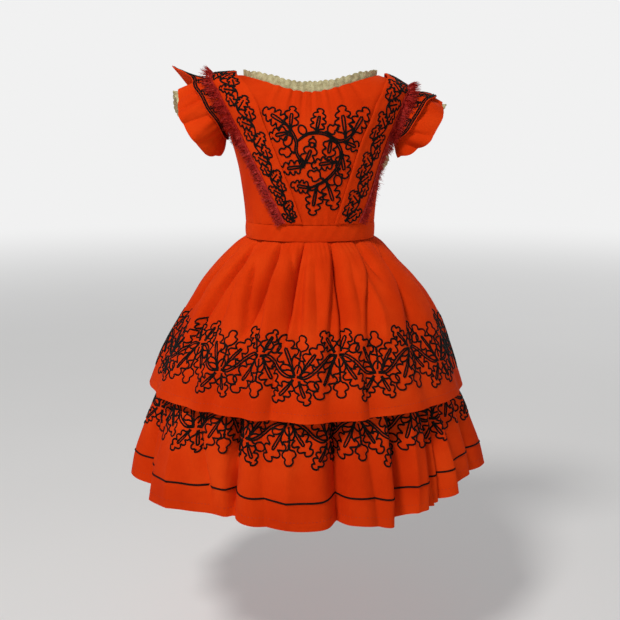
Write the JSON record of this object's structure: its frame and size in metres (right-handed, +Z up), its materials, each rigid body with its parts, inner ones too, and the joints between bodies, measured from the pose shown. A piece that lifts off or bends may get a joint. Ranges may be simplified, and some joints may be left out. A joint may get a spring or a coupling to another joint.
{
  "type": "small child's wide-necked party dress with two-tier sleeves and a two-tier pleated skirt, worn, with nobody in it",
  "caption": "Hollow worn form of a small child's red wool dress: braided shoulder bands with fringe, flared two-tier sleeves, waistband and a two-tier pleated skirt.",
  "frame": {"origin": "midway between the two neck points, on top of the shoulders that carry the dress", "axes": "+Z up, -Y the way the wearer faces, +X towards the wearer's left"},
  "size_m": [0.506, 0.4204, 0.5725],
  "materials": {
    "red_wool": "fine plain-woven wool, matte with a slight sheen",
    "black_braid": "narrow flat silk braid, dull black",
    "cream_lace": "fine cotton lace, aged cream",
    "crimson_fringe": "soft cut silk fringe, dark red"
  },
  "bodies": {
    "root": {"bodice_front": "red_wool", "bodice_back_left": "red_wool", "bodice_back_right": "red_wool", "back_placket": "red_wool", "waistband": "red_wool", "bretelle_left": "red_wool", "bretelle_right": "red_wool", "sleeve_lower_left": "red_wool", "sleeve_lower_right": "red_wool", "sleeve_upper_left": "red_wool", "sleeve_upper_right": "red_wool", "skirt_upper": "red_wool", "skirt_lower": "red_wool", "hem_braid": "black_braid", "neck_lace": "cream_lace", "sleeve_lace_left": "cream_lace", "sleeve_lace_right": "cream_lace", "underarm_lace": "cream_lace", "fringe_left": "crimson_fringe", "fringe_right": "crimson_fringe"}
  },
  "joints": []
}
